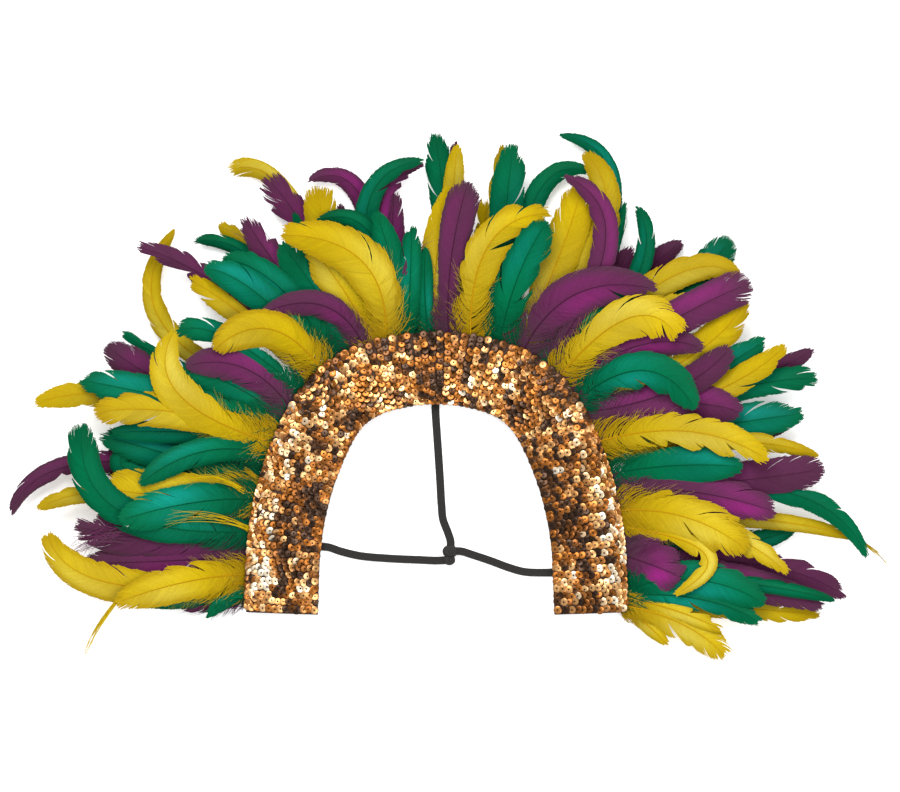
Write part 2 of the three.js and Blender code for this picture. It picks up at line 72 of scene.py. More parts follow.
# One line for each feather. Root is a station along the band's centre line, and the midrib
# leaves the outer edge there and bends past its elbow to its tip. A feather is widest from its
# belly to its taper, both shares of its length, and ragged is how far its vane has split.
FEATHERS = """
   dye level root elbow_x elbow_y tip_x tip_y width taper belly ragged
purple     2 -239    -168    -178  -192  -180    12  0.45  0.45    0.3
purple     0 -205    -160    -118  -188  -122    40  0.50  0.20    0.6
purple     2 -158    -301     -43  -319  -111    16  0.60  0.45    0.6
purple     1 -148    -196     -76  -256   -70    30  0.35  0.45    0.3
yellow     2  -96    -258      24  -196   104    17  0.60  0.45    0.3
 green     1  -61    -140     108  -183    95    11  0.35  0.45    0.3
yellow     0  -55    -123      79  -164   109    15  0.25  0.45    0.3
purple     2  -50     -98     118  -129   144    24  0.20  0.45    1.0
yellow     1  -48    -109     172  -156   148    14  0.12  0.90    0.5
 green     2  -44     -87      66  -107   117    13  0.50  0.45    0.3
purple     0  -39     -61      74   -73   124    15  0.35  0.45    0.3
purple     1  -36     -40     170   -97   140    16  0.55  0.45    0.3
purple     2  -28     -63     149    -9   154    17  0.55  0.45    1.0
purple     1  -25     -36      80   -31   134    19  0.40  0.45    0.9
 green     1  -12      -8      48    -7    64    30  0.50  0.20    0.6
yellow     2    7       8      88    16   168    16  0.25  0.85    0.3
 green     1    8      12      98    -1   177    21  0.20  0.85    0.4
purple     0    9      10      96    14   171    13  0.30  0.45    0.3
 green     1   24      24      60    26    85    30  0.50  0.20    0.6
yellow     0   30      34      90    38   128    16  0.40  0.45    0.8
yellow     1   40      39     100    50   168    13  0.35  0.45    0.3
 green     2   50      60     170   117   147    17  0.60  0.45    0.3
 green     1   73     177     167    92   175    14  0.55  0.45    0.3
purple     2   78     130      60   147    92    18  0.40  0.45    0.6
 green     2   79     130      58   142   125    10  0.60  0.45    0.3
purple     1   87     150      76   186    95    19  0.45  0.45    0.3
 green     2   91     188      56   222    97    24  0.15  0.85    0.3
purple     2  116     228     -20   284    14    18  0.40  0.45    0.3
purple     1  136     198     -58   265   -45    15  0.40  0.45    0.3
 green     1  192     228    -144   273  -118    17  0.45  0.45    0.3
purple     0  196     162    -118   190  -128    40  0.50  0.20    0.6
 green     4 -235    -183    -172  -227  -176    16  0.50  0.45    0.3
purple     4 -207    -210    -146  -264  -146    26  0.40  0.45    0.8
purple     5 -200    -215    -132  -270  -118    30  0.35  0.45    1.0
yellow     3 -174    -255     -78  -299  -106    16  0.50  0.45    0.3
 green     3 -160    -200     -62  -252   -51    26  0.40  0.45    0.6
 green     3 -150    -274     -88  -224   -57    18  0.40  0.45    0.3
 green     5 -125    -182     -46  -243   -48    17  0.40  0.45    0.3
yellow     5 -117    -244      -4  -299   -27    23  0.50  0.45    0.3
purple     4 -110    -220     -12  -246    18    24  0.25  0.45    0.3
 green     3 -107    -211       4  -237    30    10  0.55  0.45    1.0
purple     4  -83    -150      70  -223    91    18  0.30  0.45    0.8
yellow     5  -79    -145      44  -185    67    20  0.35  0.45    0.3
 green     5  -65    -120      80  -160    81    22  0.40  0.45    0.3
purple     3  -58    -117      70  -144   113    23  0.45  0.45    1.0
 green     5  -52     -92      63  -116    94    29  0.40  0.45    0.3
yellow     3  -46     -90     102   -87   136    25  0.20  0.45    0.3
 green     3  -32     -80     150    -9   155    17  0.55  0.45    0.3
 green     4  -26     -35     130   -89   110    16  0.55  0.45    0.3
yellow     5    0      -5      84    12   137    24  0.50  0.45    0.3
 green     5   34      47     102    82   111    20  0.35  0.45    0.3
 green     3   44      48      96    58   168    25  0.25  0.45    0.3
yellow     5   53     101      96   110   141    29  0.40  0.45    0.3
yellow     4   59     100      66   120   122    26  0.45  0.45    0.3
yellow     3   65     158     124   110   161    22  0.40  0.45    0.3
yellow     5   76     153      45   193    52    18  0.40  0.45    0.3
yellow     4   78     190     103   227    67    23  0.60  0.45    0.3
 green     4   83     183      88   147   122    15  0.60  0.45    0.3
 green     3   90     183      43   214    70    20  0.35  0.45    0.3
yellow     4   93     160      -2   203     4    17  0.40  0.45    0.3
yellow     5   99     209       4   231    51    26  0.35  0.45    0.3
 green     4  109     198     -16   247    22    21  0.30  0.45    0.3
purple     5  111     172     -16   229   -33    30  0.30  0.45    0.3
yellow     5  113     217     -28   261    17    20  0.35  0.45    0.3
 green     3  120     246      -4   286    -8    19  0.18  0.45    0.3
 green     3  132     202     -43   276   -34    27  0.25  0.45    0.3
yellow     4  139     228     -43   286   -66    14  0.50  0.45    0.3
purple     5  160     229     -87   290   -75    28  0.20  0.45    0.3
 green     4  170     290     -63   322  -142    18  0.65  0.45    0.8
yellow     3  184     259    -106   314  -128    13  0.55  0.45    0.3
purple     3  213     261    -135   307  -172    20  0.35  0.45    0.3
purple     5  220     229    -153   289  -178    27  0.60  0.45    0.3
yellow     4  240     217    -178   288  -185    18  0.45  0.45    0.8
yellow     5  246     157    -190   174  -208    12  0.50  0.45    0.3
 green     6 -232    -158    -172  -173  -187    12  0.50  0.45    0.3
yellow     7 -226    -280    -177  -289  -121    27  0.60  0.45    0.3
yellow     8 -220    -189    -156  -238  -175    28  0.45  0.45    0.9
 green     6 -190    -274    -129  -263   -41    24  0.15  0.30    0.4
 green     8 -168    -182     -96  -236  -114    29  0.30  0.45    0.3
yellow     6 -163    -205     -99  -249   -89    34  0.25  0.45    0.3
 green     7 -137    -176     -49  -221   -87    20  0.35  0.45    0.3
yellow     8 -128    -226     -24  -194    28    31  0.80  0.45    0.3
yellow     7 -124    -206     -22  -254   -34    26  0.25  0.45    0.3
 green     6 -113    -215     -18  -265    -9    26  0.35  0.45    0.3
 green     6 -110    -159      -2  -190    -3    23  0.35  0.45    0.3
purple     7 -101    -141      15  -187     1    27  0.45  0.45    0.3
 green     6  -90    -169      43  -195    26    17  0.30  0.45    0.3
yellow     8  -74    -124      52  -166    13    28  0.35  0.45    0.3
 green     6  -70    -141      74  -173    74    24  0.45  0.45    0.3
purple     7  -47     -78      65  -131    40    20  0.50  0.45    0.3
yellow     6  -40     -66      58   -94    91    29  0.35  0.45    0.3
yellow     8  -32     -34      99  -116    99    35  0.50  0.45    0.5
 green     6  -22     -29      76   -45   117    22  0.50  0.45    0.3
 green     7  -18     -19      66   -18   107    18  0.55  0.45    0.3
 green     6   -5     -10      58    -8    91    13  0.40  0.45    0.3
purple     6    8       6      80    24   139    25  0.12  0.85    0.2
yellow     8   22      24     116    87   115    32  0.85  0.45    0.7
 green     8   41      58      74    83   109    28  0.30  0.45    0.3
purple     7   56      97      76   165    58    33  0.60  0.45    0.3
 green     6   68     119      45   154    60    20  0.45  0.45    0.3
purple     6   70     164     115    95   143    19  0.55  0.45    0.3
yellow     8   80     153      67   181    22    31  0.40  0.45    0.6
purple     7   86     156      33   200    14    22  0.45  0.45    0.3
purple     6   88     187      47   235    63    27  0.12  0.45    0.3
 green     8   96     163      23   193   -31    29  0.40  0.45    0.3
purple     6  105     190     -24   220    16    22  0.25  0.45    0.3
purple     6  117     153     -24   196   -43    28  0.40  0.45    0.3
yellow     8  127     196     -33   247   -69    28  0.50  0.45    1.0
 green     7  150     186     -69   229   -74    28  0.50  0.45    0.3
purple     6  164     186     -84   255  -108    29  0.30  0.45    0.3
yellow     8  176     190    -102   232  -136    34  0.35  0.45    0.8
yellow     7  180     215    -108   262  -153    20  0.60  0.45    0.5
yellow     8  187     243    -133   178  -170    14  0.50  0.45    1.0
purple     8  207     160    -146   184  -157    40  0.35  0.20    0.5
 green     6  223     232    -155   297  -173    11  0.40  0.45    0.3
 green     7  231     201    -147   245  -176    29  0.45  0.45    0.3
 green     6  236     205    -166   242  -190    18  0.30  0.45    0.3
yellow     7  238     183    -180   214  -196    14  0.40  0.45    1.0
yellow     6  244     190    -187   217  -216    22  0.25  0.45    1.0
"""

# Loose barbs that have parted from a vane, with where they start, bend and end
WISPS = """
   dye level start_x start_y bend_x bend_y end_x  end_y barbs spread
yellow     8    -234    -170   -255   -194  -262   -217    14    1.6
yellow     3     312    -127    333   -138   339   -149     9    1.6
yellow     8    -138    -122   -166   -106  -200   -113     9    4.0
yellow     8    -146     -92   -168    -77  -188    -85     8    3.0
 green     6    -146    -170   -160   -173  -173   -188    14    5.0
purple     4    -148    -176   -170   -178  -190   -183    10    4.0
purple     5    -236    -126   -260   -128  -273   -136    26    7.0
purple     3    -108      74   -131     92  -148    110    14    6.0
 green     3    -202       0   -218     14  -236     28    12    4.5
 green     3     130      84    140    104   142    122    10    4.0
purple     6     -24      72    -17     88    -9     98     9    3.0
yellow     1      52     150     47    164    60    167     6    2.0
"""
WISP_POINTS = 12
WISP_HALF = 0.3
WISP_LIFT = 1.2
WISP_TAPER = 1.15
WISP_START_DRIFT = 0.5

# Vanes: barbs along both sides of a midrib, gathered in clumps with splits between them
BARB_PITCH = 0.6
BARB_POINTS = 6
BARB_THINNING = 0.6
BARB_RUN_POWER = 1.2
BARB_REACH_POWER = 1.5
BARB_TILT = 0.1
TILT_SCATTER = 0.05
SHADE_SCATTER = 0.035
LEAN_AT_BASE = 1.0
LEAN_AT_TIP = 1.8
TIP_RUN = 0.13
TIP_RUN_FROM = 0.7
TIP_LOOSE_FROM = 0.8
TIP_SCATTER = 0.6
EDGE_SAMPLES = 400
FLOOR_GAP = 0.12
FLOOR_GAP_MOST = 0.6

# Fluff, a vane's own barbs come loose near its base, and down, the fine barbs there
DOWN_SHARE = 0.24
FLUFF_ACROSS = (0.22, 0.6)
FLUFF_LEAN = 0.12
FLUFF_LIFT = 0.9
FLUFF_WAVE = 0.3
FLUFF_WAVES = (3, 8)
FLUFF_PHASES = (0, 6.3)
FLUFF_THINNING = 0.35
DOWN_BARBS = 140
DOWN_REACH = 0.32
DOWN_STARTS = (-0.1, 1)
DOWN_ACROSS = (0.3, 0.68)
DOWN_LEAN = (0.1, 1.3)
DOWN_BEND = 1.4
DOWN_WAVE = 0.35
DOWN_WAVES = (3, 6)
DOWN_WIDTH = 0.17
DOWN_TAPER = 1.25
DOWN_RISE = -0.4
RISE_SCATTER = 1.1
DOWN_SHADES = (0.8, 1.1)
DOWN_DYE_SHIFT = 0.15
BACK_DOWN = 1.5

# Midribs: round tubes, a little flattened
RIB_SIDES = 6
RIB_RINGS = 26
RIB_RADIUS = 0.42
RIB_LEAST = 0.1
RIB_TAPER = 0.8
RIB_FLATNESS = 0.8
RIB_RAISE = 0.2
RIB_SHADES = (0.9, 1.1)
RIB_END = 0.95
CURVE_SAMPLES = 96
QUILL_SAMPLES = 8

# Clumps of barbs: their sizes, how often they part, and how hard parted ones draw together
CLUMP_BARBS = (12, 50)
PARTED_LEAST = 0.12
PARTED_BY_RAGGED = 0.5
PULL_LEAST = 0.35
PULL_PARTED = (0.25, 0.85)
PULL_WHOLE = 0.06
SLACK_WHOLE = 0.25
SLACK_SHIFT = 0.5
SLACK_LIFT = 0.2
SLACK_SHADE = 0.03
LOCK_POINT = 0.45
FRAY_LEAST = 0.02
FRAY_BY_RAGGED = 0.07
FRAY_SCATTER = 0.025

# A feather's own bend: its camber, its lift over its neighbours, its roll, and its tip's curl
CAMBER = 2.4
OWN_LIFT = 0.9
MOST_ROLL = 0.1
CURL_UP = 3.5
CURL_DOWN_PER_LEVEL = 0.35
LOOSE_BY = 0.3
LEAST_HEIGHT = 0.15

# Shades of a feather: places are shares of its length, or of its half width across it
DYE_FROM = 0.02
DYE_RUN = 0.35
# The sheen is a painted highlight: a pale band laid into the tint along each feather, strongest on its
# painted bright side
PAINTED_SHEEN_DULL_SIDE = 0.4
PAINTED_SHEEN_LEAST = 0.35
PAINTED_SHEEN_PLACES = (0.35, 0.75)
PAINTED_SHEEN_RUN = 0.24
PAINTED_SHEEN_ACROSS = 0.4
PAINTED_SHEEN_SPREAD = 0.45
# Margins and the tip are darkened toward deep, a painted shade; dapples are random patches of deep
MARGIN_FROM = 0.35
MARGIN_RUN = 0.6
PAINTED_TIP_SHADE_FROM = 0.78
PAINTED_EDGE_SHADE_MOST = 0.85
PAINTED_EDGE_SHADE_BY_SHADE = 0.55
DAPPLES = (4, 9)
DAPPLE_STRENGTH = 0.4
# Feathers on lower levels are painted darker, a painted shade under the levels above
PAINTED_SHADE_AT_BACK = 0.76
TOP_LEVEL = 8

# Sequins: shallow cups with a hole, threaded in strings that run across the band. Short strings
# fill the outside of the shoulders and chains run down the legs. Angles are in degrees.
# The shade column paints shade on each sequin: dark at the hole, and dark at the rim where the sequins lie
# over each other
SEQUIN_RINGS = """
    radius height shade
      0.55   0.00  0.12
      0.98   0.00  1.00
      2.20  -0.08  1.00
      2.85  -0.20  0.92
      3.15  -0.34  0.35
"""
SEQUIN_SIDES = 12
STRING_PITCH = 5.15
STRING_STEP = 4.3
STRING_SWAY = 0.3
STRING_LEAN = 0.4
STEP_SCATTER = 0.3
SEQUIN_SCATTER = 0.5
FILL_FROM = 8
FILL_SCATTER = 0.8
CHAIN_INSETS = (0, 4.6)
CHAIN_SCATTER = 0.4
CHAIN_STOP = 3
SEQUIN_TILT = 12
SEQUIN_INSET_INNER = 2.4
SEQUIN_INSET_OUTER = 1.2
SEQUIN_STAND = 1.35
STAND_SCATTER = 0.3
SEQUIN_ROCK = 6
SEQUIN_SWAY = 8
SHINGLE_TURNS_AT = 95
SHINGLE_TURN_RUN = 40
PATCH_WAVES = 7
PATCH_SPREAD = (0.7, 1.8)
ROCK_PATCH = 30
SWAY_PATCH = 24
# Patches and scatter of painted reflection and painted shade from sequin to sequin
PAINTED_GLOW_PATCH = 14
PAINTED_GLOW_BY_PATCH = 0.35
PAINTED_GLOW_SCATTER = 0.55

# Spots of painted reflection, where sequins are painted bright, and of painted shade, where they are painted
# dark, the same on both sides of the crown. The dark spots at and near the centre also stand for the seam and
# small gaps there
SEQUIN_PAINTED_SHINE_AND_SHADE = """
    station across along_reach across_reach gain
          0      0           6           30 -1.1
         23      1           4            6 -1.3
         20     22          30            6 -0.6
         34     -9          16           13  0.4
         62      2           9           12  0.2
         77    -15          11           10 -1.1
         84     18          10            8 -0.9
        110     12          22           12  0.4
        165    -16          22           12 -0.9
        172     18          34           12  0.6
        208      0          36            6 -1.1
        226     14          26           13  0.9
        226    -16          24           10  0.3
"""
# Sequin colours at each glow level: painted shade, the sequins' own orange, and two of painted reflection
SEQUIN_COLOURS_AND_PAINTED_LIGHT = ((64, 43, 28), (172, 102, 34), (244, 190, 126), (255, 238, 210))
SEQUIN_PAINTED_GLOWS = (-0.7, 0.1, 0.9, 1.5)

# Elastic straps, from the band's inner edge to the knot
STRAP_WIDTH = 6
STRAP_THICKNESS = 1.4
STRAP_MIDDLE = 0.8
STRAP_RIBS = 7
STRAP_RIB_POINTS = 4
STRAP_RIB_DEPTH = 0.16
STRAP_ROUND = 0.2
STRAP_STEP = 1.2
ELASTIC_COLOUR = (44, 42, 40)
SEWN_DEPTH = 11
KNOT_LUMPS = (
    ((10.5, -138, 3.7), (5.6, 4.8, 3.5)),
    ((10, -144.5, 3.2), (4.4, 3.8, 3.0)),
)
KNOT_SHARE = 0.97
KNOT_RINGS = 40
KNOT_SIDES = 48
KNOT_POLE = 0.02
WINDINGS = 9
WINDING_DEPTH = 0.07
WINDING_SKEW = 2
WINDING_PHASE = 1.0
STRAPS = {
    "crown_strap": (-0.5, """
           x      y    z
           1    -54  0.8
           3    -84  0.8
         4.1   -103  0.8
        5.25   -114  0.8
           9   -124  0.9
          11   -131  1.7
        10.5   -138  3.2
    """),
    "side_strap_left": (-195.5, """
           x      y    z
         -72   -138  0.8
         -57 -141.5  0.8
       -34.5 -143.5  0.8
         -12 -144.5  0.8
           0   -145  1.2
          10 -144.5  2.9
    """),
    "side_strap_right": (217, """
           x      y    z
        66.8 -153.5  0.8
        55.5 -150.5  0.8
        40.5   -145  0.8
        25.5   -140  0.9
          19   -138  1.7
        10.5   -138  3.2
    """),
}

# Dyes as sRGB bytes, with painted light: deep, the dye in painted shade that also makes random dapples, the
# main dye, its sheen, a painted highlight, and the midrib
DYES_AND_PAINTED_LIGHT = {
    "yellow": {"deep": (164, 130, 14), "main": (208, 178, 6), "painted_sheen": (226, 208, 84), "rib": (196, 146, 12)},
    "green": {"deep": (0, 80, 48), "main": (0, 112, 70), "painted_sheen": (16, 152, 136), "rib": (0, 84, 54)},
    "purple": {"deep": (80, 52, 66), "main": (97, 42, 79), "painted_sheen": (160, 40, 132), "rib": (76, 30, 60)},
}

# View: the photograph looks straight down, and its pixels are PIXEL_MM wide on the object
PHOTO_WIDTH = 900
PHOTO_HEIGHT = 792
PIXEL_MM = 0.75
ORIGIN_PIXEL = (436, 368)
CAMERA_HEIGHT = 3000
SUBJECT_HEIGHT = 15
SENSOR_WIDTH = 36
CAMERA_FAR = 100

# Stage, in metres and watts: a floor that glows a little, an even sky and two softboxes
FLOOR_SIZE = 8
FLOOR_DROP = 0.0003
FLOOR_WHITE = (0.9, 0.9, 0.9, 1)
FLOOR_GLOW = 0.3
SKY_STRENGTH = 0.8
SOFTBOXES = {
    "key": {"place": (-0.35, 1.2, 1.8), "size": 1.3, "power": 44},
    "fill": {"place": (0.9, -0.6, 1.9), "size": 1.1, "power": 16},
}


def read_table(text):
    """Rows of a table with a heading line, as dicts with numbers where a cell is one."""
    lines = [line.split() for line in text.strip().splitlines()]
    names, rows = lines[0], lines[1:]
    return [{n: cell if cell.isalpha() else float(cell) for n, cell in zip(names, row)} for row in rows]


def linear(rgb):
    """The linear reflectance that looks like an sRGB colour in bytes under the studio light."""
    c = np.asarray(rgb, float) / 255
    return LOOK_SHARE * np.where(c <= 0.04045, c / 12.92, ((c + 0.055) / 1.055) ** 2.4)


def smoothstep(x):
    x = np.clip(x, 0, 1)
    return x * x * (3 - 2 * x)


def spine(stations):
    """Places on the band's centre line, and the directions from them to its outer edge."""
    stations = np.asarray(stations, float)
    side = np.where(stations < 0, -1.0, 1.0)
    left = np.abs(stations)
    heading, x, y = np.zeros_like(left), np.zeros_like(left), np.zeros_like(left)
    for radius, degrees in SPINE_ARCS:
        turn = np.minimum(left / radius, math.radians(degrees))
        x = x + radius * (np.sin(heading + turn) - np.sin(heading))
        y = y - radius * (np.cos(heading) - np.cos(heading + turn))
        heading = heading + turn
        left = left - radius * turn
    x = x + left * np.cos(heading)
    y = y - left * np.sin(heading)
    place = np.stack([side * x, y], -1)
    outward = np.stack([side * np.sin(heading), np.cos(heading)], -1)
    return place, outward


SPINE_END = sum(radius * math.radians(degrees) for radius, degrees in SPINE_ARCS) + LEG_STRAIGHT
FAN_SPINE = spine(np.arange(-SPINE_END, SPINE_END, FAN_SAMPLE))[0]


def fan_rise(points):
    """The rise of one level at each point: nothing at the band's edge, most at the fan's rim."""
    flat = points.reshape(-1, 2)
    gap = np.linalg.norm(flat[:, None, :] - FAN_SPINE[None, :, :], axis=2).min(1) - BAND_HALF
    share = np.clip(gap / FAN_DEPTH, 0, 1).reshape(points.shape[:-1])
    return LEVEL_LIFT * share * (2 - share)


class Skin:
    """Quads and their tints, gathered from many small pieces into one mesh."""

    def __init__(self):
        self.points, self.quads, self.tints, self.count = [], [], [], 0

    def add_grid(self, points, tints, wrap=False):
        """Strips of points, shaped (strips, along, across, 3), with a tint for each point."""
        strips, along, across, _ = points.shape
        ids = np.arange(strips * along * across).reshape(strips, along, across) + self.count
        if wrap:
            ids = np.concatenate([ids, ids[:, :, :1]], axis=2)
        quads = np.stack([ids[:, :-1, :-1], ids[:, :-1, 1:], ids[:, 1:, 1:], ids[:, 1:, :-1]], -1)
        self.points.append(points.reshape(-1, 3))
        self.tints.append(np.broadcast_to(tints, points.shape).reshape(-1, 3))
        self.quads.append(quads.reshape(-1, 4))
        self.count += strips * along * across

    def build(self, name, material, smooth=True):
        points = np.concatenate(self.points) * MM
        quads = np.concatenate(self.quads)
        tints = np.concatenate(self.tints)
        mesh = bpy.data.meshes.new(name)
        mesh.vertices.add(len(points))
        mesh.vertices.foreach_set("co", points.astype(np.float32).ravel())
        mesh.loops.add(quads.size)
        mesh.loops.foreach_set("vertex_index", quads.astype(np.int32).ravel())
        mesh.polygons.add(len(quads))
        mesh.polygons.foreach_set("loop_start", np.arange(0, quads.size, 4, dtype=np.int32))
        mesh.polygons.foreach_set("use_smooth", np.full(len(quads), smooth))
        layer = mesh.color_attributes.new("tint", "FLOAT_COLOR", "POINT")
        rgba = np.concatenate([tints, np.ones((len(tints), 1))], axis=1)
        layer.data.foreach_set("color", rgba.astype(np.float32).ravel())
        mesh.update(calc_edges=True)
        mesh.validate()
        mesh.materials.append(material)
        piece = bpy.data.objects.new(name, mesh)
        bpy.context.scene.collection.objects.link(piece)
        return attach(piece, "root")


# Materials

def new_material(name, **sockets):
    """A principled material whose constant sockets are set by name, and its nodes and shader."""
    material = bpy.data.materials.new(name)
    material.use_nodes = True
    nodes, links = material.node_tree.nodes, material.node_tree.links
    shader = nodes["Principled BSDF"]
    for socket, value in sockets.items():
        shader.inputs[socket.replace("_", " ").title().replace("Ior", "IOR")].default_value = value
    return material, nodes, links, shader


def add_noise(nodes, links, scale, detail):
    place = nodes.new("ShaderNodeTexCoord")
    noise = nodes.new("ShaderNodeTexNoise")
    noise.inputs["Scale"].default_value = scale
    noise.inputs["Detail"].default_value = detail
    links.new(place.outputs["Object"], noise.inputs["Vector"])
    return noise


def tinted(nodes, links, shader, noise, low, high):
    """The tint attribute, made lighter and darker by a noise, as the base colour."""
    tint = nodes.new("ShaderNodeAttribute")
    tint.attribute_name = "tint"
    level = nodes.new("ShaderNodeMapRange")
    level.inputs["To Min"].default_value = low
    level.inputs["To Max"].default_value = high
    links.new(noise.outputs["Fac"], level.inputs["Value"])
    shade = nodes.new("ShaderNodeVectorMath")
    shade.operation = "SCALE"
    links.new(tint.outputs["Color"], shade.inputs["Vector"])
    links.new(level.outputs["Result"], shade.inputs["Scale"])
    links.new(shade.outputs["Vector"], shader.inputs["Base Color"])


def add_bump(nodes, links, shader, height, distance, strength):
    bump = nodes.new("ShaderNodeBump")
    bump.inputs["Distance"].default_value = distance
    bump.inputs["Strength"].default_value = strength
    links.new(height, bump.inputs["Height"])
    links.new(bump.outputs["Normal"], shader.inputs["Normal"])


def feather_material(dye):
    material, nodes, links, shader = new_material(
        f"feather_{dye}", roughness=0.5, specular_ior_level=0.03)
    noise = add_noise(nodes, links, scale=900, detail=3)
    tinted(nodes, links, shader, noise, low=0.82, high=1.14)
    return material


def sequin_material():
    material, nodes, links, shader = new_material(
        "sequin_gold", metallic=0.9, roughness=0.3, coat_weight=0.1, coat_roughness=0.14)
    noise = add_noise(nodes, links, scale=700, detail=2)
    tinted(nodes, links, shader, noise, low=0.9, high=1.08)
    add_bump(nodes, links, shader, noise.outputs["Fac"], distance=0.0002, strength=0.25)
    return material


def cloth_material(name, dark, light, threads):
    """Woven cloth: two crossed sets of threads raise the surface and shade the colour."""
    material, nodes, links, shader = new_material(
        name, roughness=0.85, sheen_weight=0.2, sheen_roughness=0.5)
    place = nodes.new("ShaderNodeTexCoord")
    waves = []
    for direction in ("X", "Y"):
        wave = nodes.new("ShaderNodeTexWave")
        wave.bands_direction = direction
        wave.inputs["Scale"].default_value = threads
        wave.inputs["Distortion"].default_value = 1.2
        wave.inputs["Detail Scale"].default_value = 2
        links.new(place.outputs["Object"], wave.inputs["Vector"])
        waves.append(wave)
    weave = nodes.new("ShaderNodeMath")
    weave.operation = "MULTIPLY"
    links.new(waves[0].outputs["Fac"], weave.inputs[0])
    links.new(waves[1].outputs["Fac"], weave.inputs[1])
    ramp = nodes.new("ShaderNodeValToRGB")
    ramp.color_ramp.elements[0].color = (*linear(dark), 1)
    ramp.color_ramp.elements[1].color = (*linear(light), 1)
    links.new(weave.outputs["Value"], ramp.inputs["Fac"])
    links.new(ramp.outputs["Color"], shader.inputs["Base Color"])
    add_bump(nodes, links, shader, weave.outputs["Value"], distance=0.0004, strength=0.6)
    return material


# Feathers

class Midrib:
    """A feather's line from inside its tape to its tip, by distance from its root."""

    def __init__(self, row):
        place, outward = spine([row["root"]])
        root = place[0] + BAND_HALF * outward[0]
        elbow = np.array([row["elbow_x"], row["elbow_y"]])
        tip = np.array([row["tip_x"], row["tip_y"]])
        t = np.linspace(0, 1, CURVE_SAMPLES)[:, None]
        blade = (1 - t) ** 2 * root + 2 * t * (1 - t) * elbow + t * t * tip
        quill = root - outward[0] * np.linspace(QUILL_DEPTH, 0, QUILL_SAMPLES, endpoint=False)[:, None]
        self.points = np.concatenate([quill, blade])
        steps = np.linalg.norm(np.diff(self.points, axis=0), axis=1)
        self.distance = np.concatenate([[0], np.cumsum(steps)]) - QUILL_DEPTH
        self.share = np.concatenate([np.zeros(len(quill)), t[:, 0]])
        self.length = self.distance[-1]
        along = np.gradient(self.points, self.distance, axis=0)
        along /= np.linalg.norm(along, axis=1)[:, None]
        self.side = np.stack([-along[:, 1], along[:, 0]], 1)

    def share_at(self, distance):
        return np.interp(distance, self.distance, self.share)

    def beside(self, distance, across):
        """Points at a distance along the midrib and across from it, to its left."""
        place = [np.interp(distance, self.distance, self.points[:, i]) for i in (0, 1)]
        side = [np.interp(distance, self.distance, self.side[:, i]) for i in (0, 1)]
        return np.stack([place[i] + across * side[i] for i in (0, 1)], -1)


def half_width(row, share):
    grown = QUILL_SHARE + (1 - QUILL_SHARE) * smoothstep(share / row["belly"])
    past = np.clip((share - (1 - row["taper"])) / row["taper"], 0, 1)
    return row["width"] / 2 * grown * np.sqrt(1 - past * past)


